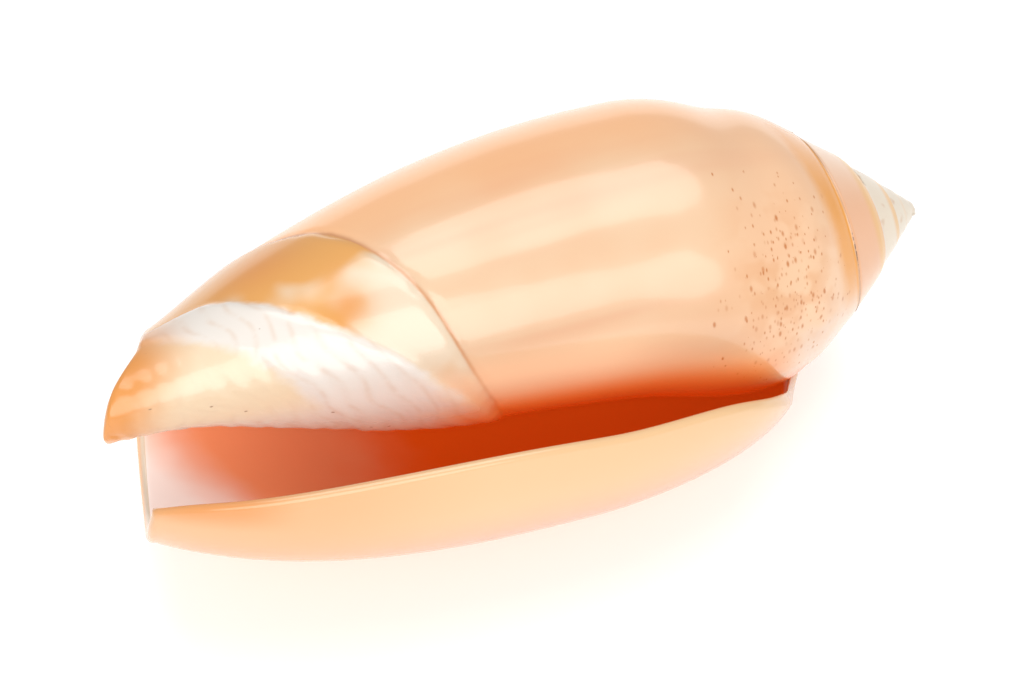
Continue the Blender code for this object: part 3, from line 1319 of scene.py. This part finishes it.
    def _tip_rim(self) -> bpy.types.NodeSocket:
        """The rounded front end of the columella.

        Returns:
            The bent rim.
        """
        graph = self.graph
        grid, across, along = self._grid(self.given["Turn Columns"] * 0.5, self.given["Rim Steps"])
        growth = across * self.CLOSED_BEHIND
        share = self._constant(1.0)
        outer, inner = self._outside(growth, share), self._columella(growth, share)
        front = graph.vector("NORMALIZE", (-1.0, 0.0, 0.0)).outputs[0]
        return self._rim(grid, along, outer, inner, front, throat=False)


class OliveShell:
    """The shell as one piece: its mesh and its finish."""

    NAME = "olive_shell"
    DOME_STEPS = 2
    DOME_INSET = 0.11 * MM
    DOME_RISE = 0.07 * MM

    def __init__(self, sizes: ShellSizes, relief: Relief, density: Density) -> None:
        """Keeps the sizes and builds the tree of the skin.

        Args:
            sizes: the driving dimensions.
            relief: the heights of the fine relief.
            density: how finely the skin is divided.
        """
        self.sizes = sizes
        self.density = density
        self.skin = ShellSkin(sizes, ShellRules(sizes, relief))

    def make(self, rest_point: Vector, finish: bpy.types.Material) -> bpy.types.Object:
        """Grows the skin and turns it into a plain, closed mesh.

        Args:
            rest_point: where the middle of the shell's underside lies, in metres.
            finish: the material of the whole skin.

        Returns:
            The finished piece.
        """
        shell = bpy.data.objects.new(self.NAME, bpy.data.meshes.new(self.NAME))
        bpy.context.scene.collection.objects.link(shell)
        grow = shell.modifiers.new("Skin", "NODES")
        grow.node_group = self.skin.tree
        self._set_inputs(grow, rest_point, finish)
        graph = bpy.context.evaluated_depsgraph_get()
        grown = bpy.data.meshes.new_from_object(shell.evaluated_get(graph))
        shell.modifiers.remove(grow)
        grown.name = self.NAME
        self._close_apex(grown)
        shell.data = grown
        shell.data.shade_smooth()
        return shell

    def _set_inputs(
        self, grow: bpy.types.Modifier, rest_point: Vector, finish: bpy.types.Material
    ) -> None:
        """Gives each named input of the tree its value, by the socket's identifier.

        Args:
            grow: the modifier that holds the tree.
            rest_point: the middle of the shell's underside.
            finish: the material of the skin.
        """
        sizes, density = self.sizes, self.density
        values = {
            "Turn Columns": density.turn_columns,
            "Spire Rows": density.spire_rows,
            "Body Rows": density.body_rows,
            "Rim Steps": density.rim_steps,
            "Wall": sizes.wall,
            "Lip Wall": sizes.lip_wall,
            "Upward": sizes.upward,
            "Dip": sizes.dip,
            "Rest Point": tuple(rest_point),
            "Finish": finish,
        }
        for item in self.skin.tree.interface.items_tree:
            if item.in_out == "INPUT" and item.name in values:
                grow[item.identifier] = values[item.name]

    @classmethod
    def _close_apex(cls, mesh: bpy.types.Mesh) -> None:
        """Caps the first whorl with a low dome, and turns every face outwards.

        Args:
            mesh: the grown skin, changed in place.
        """
        work = bmesh.new()
        work.from_mesh(mesh)
        bmesh.ops.dissolve_degenerate(work, edges=work.edges, dist=1e-7)
        open_edges = [edge for edge in work.edges if edge.is_boundary]
        made = bmesh.ops.holes_fill(work, edges=open_edges, sides=0)["faces"]
        for _ in range(cls.DOME_STEPS):
            bmesh.ops.inset_region(work, faces=made, thickness=cls.DOME_INSET, depth=cls.DOME_RISE)
        bmesh.ops.poke(work, faces=made)
        bmesh.ops.recalc_face_normals(work, faces=work.faces)
        work.to_mesh(mesh)
        work.free()


# ---------------------------------------------------------------------------
# The finish
# ---------------------------------------------------------------------------


Colour = Tuple[float, float, float]


def pigment(red: int, green: int, blue: int, light: float = 0.66) -> Colour:
    """A reflectance from a colour as seen in full light.

    Args:
        red: red of the lit colour, 0 to 255.
        green: green of it.
        blue: blue of it.
        light: how much of that brightness the surface itself has.

    Returns:
        The linear reflectance.
    """
    def linear(value: int) -> float:
        """One channel without its display curve."""
        share = value / 255
        return light * (share / 12.92 if share <= 0.04045 else ((share + 0.055) / 1.055) ** 2.4)

    return linear(red), linear(green), linear(blue)


@dataclass(frozen=True)
class EnamelColours:
    """Pigments of the outside."""

    peach: Colour = pigment(252, 202, 160)
    pale_peach: Colour = pigment(254, 216, 178)
    rosy: Colour = pigment(244, 168, 130)
    orange: Colour = pigment(254, 180, 112, 0.95)
    # low: painted light, a paler and brighter peach for the lower body, where less light falls
    low: Colour = pigment(254, 216, 176, 0.84)
    high: Colour = pigment(253, 186, 128, 0.9)
    brim: Colour = pigment(250, 150, 60, 0.9)
    accent: Colour = pigment(250, 160, 80)
    shoulder: Colour = pigment(252, 204, 164, 0.76)
    worn: Colour = pigment(246, 220, 200)
    lip: Colour = pigment(255, 209, 156)
    lip_pink: Colour = pigment(246, 184, 150)
    lip_front: Colour = pigment(253, 190, 132)
    speckle: Colour = pigment(210, 126, 56)
    halo: Colour = pigment(240, 166, 104)
    amber: Colour = pigment(253, 172, 72)
    seam: Colour = pigment(238, 178, 134)
    dark: Colour = pigment(112, 74, 44)


@dataclass(frozen=True)
class SpireColours:
    """Pigments of the older whorls."""

    penultimate: Colour = pigment(253, 218, 188, 0.74)
    low: Colour = pigment(250, 176, 122)
    early: Colour = pigment(250, 234, 212)
    apex: Colour = pigment(248, 236, 218)
    band: Colour = pigment(252, 192, 104)
    blotch: Colour = pigment(228, 184, 144)


@dataclass(frozen=True)
class FrontColours:
    """Pigments of the front band and the callus."""

    band: Colour = pigment(250, 182, 100)
    cream: Colour = pigment(255, 234, 206)
    patch: Colour = pigment(250, 166, 84)
    groove: Colour = pigment(226, 154, 98)
    callus: Colour = pigment(254, 246, 238, 0.68)
    callus_warm: Colour = pigment(255, 226, 184, 0.7)
    strand: Colour = pigment(240, 208, 182)
    tip: Colour = pigment(250, 166, 82)
    fleck: Colour = pigment(150, 104, 70)


@dataclass(frozen=True)
class ThroatColours:
    """Pigments inside the aperture, and the strength of the painted glow: emission that stands in
    for light coming through the thin wall.
    """

    deep: Colour = pigment(252, 118, 30, 0.85)
    salmon: Colour = pigment(250, 166, 118, 0.85)
    canal: Colour = pigment(252, 248, 244, 0.85)
    # edge: cream of the wall's rim, partly its own paler colour and partly a painted highlight
    # along the lip
    edge: Colour = pigment(255, 236, 210)
    # painted glow: emission strength of the throat, in place of light shining through the thin wall
    painted_glow: float = 0.27


@dataclass(frozen=True)
class Gloss:
    """How polished the skin is."""

    enamel: float = 0.23
    callus: float = 0.3
    spire: float = 0.36
    throat: float = 0.25
    coat: float = 0.45
    coat_roughness: float = 0.1


class EnamelFinish:
    """The procedural material of the shell, read from the marks on its skin."""

    MM_PER_DEGREE = 0.21
    THROAT_STARTS, THROAT_FULL = 3.8, 5.4

    def __init__(self) -> None:
        """Starts an empty material."""
        self.material = bpy.data.materials.new("shell_enamel")
        self.material.use_nodes = True
        self.graph = Graph(self.material.node_tree)
        self.marks: Dict[Mark, Field] = {}
        for mark in Mark:
            node = self.graph.node("ShaderNodeAttribute", attribute_name=mark.value)
            self.marks[mark] = Field(self.graph, node.outputs["Fac"])
        self.place = self.graph.node("ShaderNodeTexCoord").outputs["Object"]
        self.gloss = Gloss()

    def build(self) -> bpy.types.Material:
        """Mixes the colours and the gloss, and plugs them into the shader.

        Returns:
            The finished material.
        """
        graph, marks = self.graph, self.marks
        outside = self._spire(self._enamel())
        outside = self._front(outside)
        throat = self._throat()
        brim = graph.ramp(marks[Mark.DEPTH] * (1.0 - marks[Mark.WALL]), 0.6, 3.6)
        station, growth = marks[Mark.STATION], marks[Mark.GROWTH]
        brim = brim * graph.ramp(station, 39, 33) * graph.ramp(station, 12.5, 17)
        outside = graph.tint(brim * 0.8, outside, EnamelColours().brim)
        depth = marks[Mark.DEPTH] + marks[Mark.WALL] * 3.0
        notch = graph.ramp(station, 50, 53) * graph.ramp(growth, 170, 195)
        cap = graph.ramp(station, 51, 53) * graph.ramp(growth, 194, 178)
        zone = self.THROAT_STARTS, self.THROAT_FULL
        inside = graph.ramp(depth + notch * marks[Mark.WALL] * 1.6, *zone) * (1.0 - cap)
        colour = graph.tint(inside, outside, throat)
        shader = self.material.node_tree.nodes["Principled BSDF"]
        graph.feed(shader.inputs["Base Color"], colour)
        graph.feed(shader.inputs["Roughness"], self._roughness())
        shader.inputs["Coat Weight"].default_value = self.gloss.coat
        shader.inputs["Coat Roughness"].default_value = self.gloss.coat_roughness
        # Painted glow: the throat emits light in its own colour, stronger deeper in and towards the
        # front, in place of light shining through the thin wall
        shader.inputs["Emission Strength"].default_value = ThroatColours.painted_glow
        lit = graph.ramp(depth, *zone) * (1.0 - cap) * 0.7 + inside * 0.3
        shine = lit * (graph.ramp(station, 42, 54) * 0.6 + 0.4)
        graph.feed(shader.inputs["Emission Color"], graph.tint(shine, (0.0, 0.0, 0.0), throat))
        graph.feed(shader.inputs["Normal"], self._bump())
        return self.material

    def _around(self, stretch: float = 1.0) -> bpy.types.NodeSocket:
        """Coordinates on the unrolled skin, in millimetres.

        Args:
            stretch: how far a pattern is drawn out along the growth.

        Returns:
            A vector whose X runs with the growth and whose Y runs with the station.
        """
        point = self.graph.node("ShaderNodeCombineXYZ")
        along = self.marks[Mark.GROWTH] * (self.MM_PER_DEGREE / stretch)
        self.graph.feed(point.inputs["X"], along)
        self.graph.feed(point.inputs["Y"], self.marks[Mark.STATION])
        return point.outputs[0]

    def _cloud(self, start: float, end: float, scale: float, detail: float = 2.0) -> Field:
        """Soft patches through the object, from 0 to 1.

        Args:
            start: noise at which a patch begins.
            end: noise at which it is full.
            scale: patches per metre.
            detail: octaves of the noise.
        """
        return self.graph.ramp(self.graph.noise(self.place, scale, detail), start, end)

    def _enamel(self) -> Field:
        """The colour of the body whorl.

        Returns:
            The colour.
        """
        graph, marks, colours = self.graph, self.marks, EnamelColours()
        growth, station = marks[Mark.GROWTH], marks[Mark.STATION]
        ground = graph.tint(self._cloud(0.35, 0.65, 90), colours.peach, colours.pale_peach)
        bands = graph.noise(self._around(), 0.22, 2.0, squash=(1.0, 0.12, 1.0))
        ground = graph.tint(graph.ramp(bands, 0.48, 0.72) * 0.4, ground, colours.rosy)
        ground = graph.tint(graph.ramp(growth, 70, 118) * 0.9, ground, colours.high)
        # Painted light: the lower body near the aperture is lifted to a paler, brighter peach
        # because less light falls there
        low = graph.ramp(growth, 30, 4) * graph.ramp(station, 18, 28)
        ground = graph.tint(low, ground, colours.low)
        flank = graph.ramp(station, 12, 18) * graph.ramp(station, 42, 33)
        ground = graph.tint(graph.ramp(growth, 4, -28) * flank, ground, colours.orange)
        ground = graph.tint(graph.ramp(station, 20, 11) * 0.6, ground, colours.shoulder)
        worn = graph.ramp(station, 15.0, 11.0) * graph.ramp(growth, 14, -18)
        worn = worn * self._cloud(0.3, 0.6, 300)
        ground = graph.tint(worn * 0.8, ground, colours.worn)
        lip = graph.tint(graph.ramp(growth, 346, 318), colours.lip, colours.lip_pink)
        lip = graph.tint(graph.ramp(station, 36, 50) * 0.8, lip, colours.lip_front)
        accent = graph.ramp(growth, 343, 354) * graph.ramp(station, 49, 54)
        lip = graph.tint(accent * 0.7, lip, colours.accent)
        ground = graph.tint(graph.ramp(growth, 270, 330), ground, lip)
        ground = self._suture_band(ground)
        return self._speckles(ground)

    def _suture_band(self, ground: Field) -> Field:
        """The amber band that the body whorl lays on the suture, and dirt caught in it.

        Args:
            ground: the colour laid down so far.

        Returns:
            The colour with the band.
        """
        graph, marks, colours = self.graph, self.marks, EnamelColours()
        growth, below = marks[Mark.GROWTH], marks[Mark.BELOW]
        waver = (graph.noise(self._around(3.0), 0.9, 2.0) - 0.5) * 0.5
        near = below + waver - graph.ramp(growth, 40, 110) * 1.1
        band = graph.ramp(below, 0.0, 0.3) * graph.ramp(near, 2.3, 1.1)
        shown = graph.ramp(growth, -40, 20) * (1.0 - graph.ramp(growth, 200, 280) * 0.6)
        ground = graph.tint(band * shown * 0.95, ground, colours.amber)
        seam = bell(below, 0.12) * graph.ramp(growth, -40, 0)
        ground = graph.tint(seam * 0.35, ground, colours.seam)
        broken = graph.ramp(graph.noise(self._around(), 1.6, 2.0), 0.42, 0.52)
        return graph.tint(bell(below, 0.13) * bell(growth - 24, 11) * broken, ground, colours.dark)

    def _speckles(self, ground: Field) -> Field:
        """Short rusty dashes, thickest below the shoulder.

        Args:
            ground: the colour laid down so far.

        Returns:
            The colour with the dashes.
        """
        graph, marks = self.graph, self.marks
        growth, station = marks[Mark.GROWTH], marks[Mark.STATION]
        across = (growth - 16) / 38
        along = (station - 13.6) / 3.9
        thick = graph.math("MAXIMUM", exp(-(across * across) - along * along) - 0.05, 0.0)
        halo = thick * self._cloud(0.45, 0.62, 420) * 0.5
        ground = graph.tint(halo, ground, EnamelColours().halo)
        total: Value = 0.0
        for scale, size in ((1.9, 0.32), (3.2, 0.34)):
            cell = graph.node("ShaderNodeTexVoronoi", voronoi_dimensions="2D", feature="F1")
            graph.feed(cell.inputs["Vector"], self._around(2.4))
            cell.inputs["Scale"].default_value = scale
            chance = graph.channel(cell.outputs["Color"], 0)
            reach = size * graph.ramp(chance, 1.0 - thick * 0.85, 1.0 - thick * 0.3)
            spot = graph.ramp(Field(graph, cell.outputs["Distance"]), reach, reach * 0.15)
            total = spot * (graph.channel(cell.outputs["Color"], 1) * 0.8 + 0.2) + total
        return graph.tint(graph.math("MINIMUM", total, 0.85), ground, EnamelColours().speckle)

    def _spire(self, enamel: Field) -> Field:
        """The older whorls, paler towards the apex, each with a thin amber band at its suture.

        Args:
            enamel: the colour of the body whorl.

        Returns:
            The colour with the spire.
        """
        graph, marks, colours = self.graph, self.marks, SpireColours()
        growth = marks[Mark.GROWTH]
        spire = graph.tint(graph.ramp(growth, -345, -480), colours.penultimate, colours.early)
        low = graph.ramp(growth, -410, -350) * graph.ramp(growth, -250, -320)
        spire = graph.tint(low * 0.7, spire, colours.low)
        spire = graph.tint(graph.ramp(growth, -800, -1100) * 0.8, spire, colours.apex)
        blotch = self._cloud(0.6, 0.72, 800) * graph.ramp(growth, -420, -700)
        spire = graph.tint(blotch * 0.6, spire, colours.blotch)
        size = exp(graph.math("MINIMUM", growth, 0.0) * (math.log(ShellSizes.spire_gain) / 360))
        below = marks[Mark.BELOW] / size
        band = graph.ramp(below, 0.0, 0.25) * graph.ramp(below, 1.9, 0.8)
        spire = graph.tint(band * graph.ramp(growth, -1300, -500) * 0.9, spire, colours.band)
        older = graph.ramp(growth, -70, -210) * graph.math("LESS_THAN", marks[Mark.DEPTH], 0.001)
        return graph.tint(older, enamel, spire)

    def _front(self, ground: Field) -> Field:
        """The front band and the white callus, with its strands.

        Args:
            ground: the colour laid down so far.

        Returns:
            The colour with the band and the callus.
        """
        graph, marks, colours = self.graph, self.marks, FrontColours()
        growth, station = marks[Mark.GROWTH], marks[Mark.STATION]
        ripple = graph.noise(self._around(), 0.55, 3.0) - 0.5
        shown = graph.ramp(growth, -70, -30) * graph.ramp(growth, 215, 165)
        band = marks[Mark.BAND] + ripple * 0.15
        fading = graph.ramp(growth, 0, 30)
        on_band = graph.ramp(band, -0.05, 0.15) * shown
        cream = self._cloud(0.42, 0.6, 160) * graph.ramp(growth, 100, 84)
        body = graph.tint(cream, colours.band, colours.cream)
        across, along = (growth - 104) / 16, (station - 47.5) / 3.2
        patch = exp(-(across * across) - along * along)
        across, along = (growth - 60) / 13, (station - 42.9) / 1.5
        patch = graph.math("MINIMUM", patch + exp(-(across * across) - along * along), 1.0)
        body = graph.tint(patch * 0.75, body, colours.patch)
        ground = graph.tint(on_band * (fading * 0.75 + 0.25), ground, body)
        line = bell(band, 0.16) * shown * (fading * 0.6 + 0.4)
        ground = graph.tint(line * 0.75, ground, colours.groove)

        callus = marks[Mark.CALLUS] + ripple * 1.3
        thin = graph.ramp(station + ripple * 5, 34, 41)
        on_callus = graph.ramp(callus, -0.1, 0.9) * shown * (thin * 0.9 + 0.1)
        tongue = graph.ramp(marks[Mark.TONGUE] + ripple * 1.5, -0.4, 1.0)
        tongue = tongue * graph.ramp(growth + station * 3, 125, 165)
        white = graph.tint(tongue * 0.8, colours.callus, colours.callus_warm)
        count = marks[Mark.STRANDS] + (graph.noise(self._around(), 0.16, 0.0) - 0.5) * 2.4
        wave = graph.math("COSINE", count * math.tau) * 0.5 + 0.5
        threads = graph.math("POWER", wave, 4.0) * graph.ramp(ripple, -0.2, 0.15)
        white = graph.tint(threads * (0.34 - tongue * 0.24), white, colours.strand)
        tip = graph.ramp(station + graph.ramp(growth, 15, 75) * 2.4, 54.6, 59.6)
        white = graph.tint(tip * self._cloud(0.2, 0.5, 140), white, colours.tip)
        cell = graph.node("ShaderNodeTexVoronoi", voronoi_dimensions="2D", feature="F1")
        graph.feed(cell.inputs["Vector"], self._around(1.4))
        cell.inputs["Scale"].default_value = 0.62
        rare = graph.ramp(graph.channel(cell.outputs["Color"], 0), 0.86, 0.92)
        fleck = graph.ramp(Field(graph, cell.outputs["Distance"]), rare * 0.1, rare * 0.03)
        white = graph.tint(fleck * rare * 0.7, white, colours.fleck)
        return graph.tint(on_callus, ground, white)

    def _throat(self) -> Field:
        """The inside: deep orange, salmon towards the front and pale in the canal, with a cream rim
        on the wall's edge that is partly its own paler colour and partly a painted highlight.

        Returns:
            The colour.
        """
        graph, marks, colours = self.graph, self.marks, ThroatColours()
        station, depth = marks[Mark.STATION], marks[Mark.DEPTH]
        mottle = (graph.noise(self._around(), 0.2, 2.0) - 0.5) * 6
        inside = graph.tint(graph.ramp(station + mottle, 36, 44), colours.deep, colours.salmon)
        reach = station + mottle * 0.5 + graph.ramp(marks[Mark.GROWTH], 225, 305) * 6
        canal = graph.ramp(reach, 52, 59)
        inside = graph.tint(canal * 0.95, inside, colours.canal)
        # Cream rim over the wall's edge: partly the edge's own paler colour, partly a painted
        # highlight along the lip
        edge = graph.ramp(depth, 3.6, 1.6) * marks[Mark.WALL]
        return graph.tint(edge, inside, colours.edge)

    def _roughness(self) -> Field:
        """The polish of each zone.

        Returns:
            The roughness.
        """
        graph, marks, gloss = self.graph, self.marks, self.gloss
        growth = marks[Mark.GROWTH]
        rough = graph.mix(graph.ramp(growth, -70, -210), gloss.enamel, gloss.spire)
        on_callus = graph.ramp(marks[Mark.CALLUS], 0, 1) * graph.ramp(growth, 215, 165)
        rough = graph.mix(on_callus, rough, gloss.callus)
        rough = graph.mix(graph.ramp(marks[Mark.DEPTH], 0.5, 3.0), rough, gloss.throat)
        grain = graph.noise(self.place, 900, 3.0) - 0.5
        return rough + grain * 0.03

    def _bump(self) -> bpy.types.NodeSocket:
        """Fine growth lines and grain on the skin.

        Returns:
            The bent normal.
        """
        graph = self.graph
        lines = graph.noise(self._around(), 1.3, 1.0, squash=(1.0, 0.05, 1.0))
        grain = graph.noise(self.place, 1400, 1.0)
        height = lines * 0.5 + grain * 0.04
        bump = graph.node("ShaderNodeBump")
        bump.inputs["Strength"].default_value = 0.25
        bump.inputs["Distance"].default_value = 0.00004
        graph.feed(bump.inputs["Height"], height)
        return bump.outputs["Normal"]


# ---------------------------------------------------------------------------
# Stage
# ---------------------------------------------------------------------------


@dataclass(frozen=True)
class Viewpoint:
    """Where the camera stands, in degrees and metres, against the middle of the underside."""

    azimuth: float = -24.3
    elevation: float = 55.51
    roll: float = 4.92
    distance: float = 0.2903
    aim: Tuple[float, float, float] = (-0.00061, -0.00019, 0.01185)
    lens: float = 150.0
    sensor: float = 36.0


def direction(azimuth: float, elevation: float) -> Vector:
    """The direction towards a place in the sky; azimuth 0 is -Y and 90 is +X, in degrees.

    Args:
        azimuth: degrees round from -Y towards +X.
        elevation: degrees up from the horizon.

    Returns:
        The direction, of length 1.
    """
    turn, lift = math.radians(azimuth), math.radians(elevation)
    flat = math.cos(lift)
    return Vector((math.sin(turn) * flat, -math.cos(turn) * flat, math.sin(lift)))


@dataclass(frozen=True)
class Softbox:
    """A soft rectangular light: its middle against the point of rest, and its turn in degrees."""

    name: str
    middle: Tuple[float, float, float]
    turn: Tuple[float, float, float]
    size: Tuple[float, float]
    power: float
    colour: Tuple[float, float, float] = (1.0, 0.98, 0.95)


class Studio:
    """The floor, the lights and the camera round the shell."""

    SOFTBOXES: Tuple[Softbox, ...] = (
        Softbox("upper_softbox", (0.06, 0.17, 0.60), (0.0, 0.0, -15.0), (0.46, 0.56), 2.0),
        Softbox("front_softbox", (-0.15, -0.46, 0.36), (55.0, 0.0, -18.0), (0.66, 0.55), 2.8),
    )

    def __init__(self, rest_point: Vector) -> None:
        """Keeps the point that the stage is set round."""
        self.rest_point = rest_point

    def set_up(self) -> None:
        """Makes the stage."""
        self.make_floor()
        self.light_sky()
        for softbox in self.SOFTBOXES:
            self.hang(softbox)
        self.place_camera(Viewpoint())
        bpy.context.scene.view_settings.view_transform = "Standard"

    def make_floor(self, half: float = 3.0, albedo: float = 0.86) -> None:
        """A wide pale floor under the shell.

        Args:
            half: half the width of the floor.
            albedo: the share of the light that it gives back.
        """
        mesh = bpy.data.meshes.new("floor")
        corners = [(-half, -half, 0.0), (half, -half, 0.0), (half, half, 0.0), (-half, half, 0.0)]
        mesh.from_pydata(corners, [], [(0, 1, 2, 3)])
        material = bpy.data.materials.new("floor_paper")
        material.use_nodes = True
        shader = material.node_tree.nodes["Principled BSDF"]
        shader.inputs["Base Color"].default_value = (albedo, albedo, albedo, 1.0)
        shader.inputs["Roughness"].default_value = 0.9
        shader.inputs["Specular IOR Level"].default_value = 0.1
        shader.inputs["Emission Color"].default_value = (1.0, 1.0, 1.0, 1.0)
        shader.inputs["Emission Strength"].default_value = 0.2
        mesh.materials.append(material)
        floor = bpy.data.objects.new("floor", mesh)
        floor.location = (self.rest_point.x, self.rest_point.y, self.rest_point.z)
        bpy.context.scene.collection.objects.link(floor)
        floor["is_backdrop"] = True

    @staticmethod
    def light_sky(strength: float = 0.6) -> None:
        """An even pale sky.

        Args:
            strength: brightness of the sky.
        """
        world = bpy.data.worlds.new("studio")
        world.use_nodes = True
        sky = world.node_tree.nodes["Background"]
        sky.inputs["Color"].default_value = (1.0, 1.0, 1.0, 1.0)
        sky.inputs["Strength"].default_value = strength
        bpy.context.scene.world = world

    def hang(self, softbox: Softbox) -> None:
        """Hangs one softbox.

        Args:
            softbox: the light to hang.
        """
        light = bpy.data.lights.new(softbox.name, "AREA")
        light.shape = "ELLIPSE"
        light.size, light.size_y = softbox.size
        light.energy = softbox.power
        light.color = softbox.colour
        lamp = bpy.data.objects.new(softbox.name, light)
        lamp.location = self.rest_point + Vector(softbox.middle)
        lamp.rotation_euler = [math.radians(angle) for angle in softbox.turn]
        bpy.context.scene.collection.objects.link(lamp)

    def place_camera(self, view: Viewpoint) -> None:
        """Stands the camera at the viewpoint.

        Args:
            view: where the camera stands and looks.
        """
        data = bpy.data.cameras.new("camera")
        data.lens, data.sensor_width = view.lens, view.sensor
        data.clip_start, data.clip_end = 0.01, 20.0
        camera = bpy.data.objects.new("camera", data)
        back = direction(view.azimuth, view.elevation)
        camera.location = self.rest_point + Vector(view.aim) + back * view.distance
        level = back.to_track_quat("Z", "Y").to_matrix()
        roll = Matrix.Rotation(math.radians(view.roll), 3, "Z")
        camera.rotation_euler = (level @ roll).to_euler()
        bpy.context.scene.collection.objects.link(camera)
        bpy.context.scene.camera = camera


def main() -> None:
    """Builds the shell around the frame, then the stage, the lights and the camera."""
    logging.basicConfig(level=logging.INFO, format="%(name)s: %(message)s")
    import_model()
    cad_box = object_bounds()
    low, high = (Vector(corner) for corner in cad_box)
    rest_point = Vector(((low.x + high.x) / 2, (low.y + high.y) / 2, low.z))
    material = EnamelFinish().build()
    shell = OliveShell(ShellSizes(), Relief(), Density()).make(rest_point, material)
    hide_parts("shell")
    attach(shell, "root")
    log.info("%s: %d faces", shell.name, len(shell.data.polygons))
    Studio(rest_point).set_up()


if __name__ == "__main__":
    main()
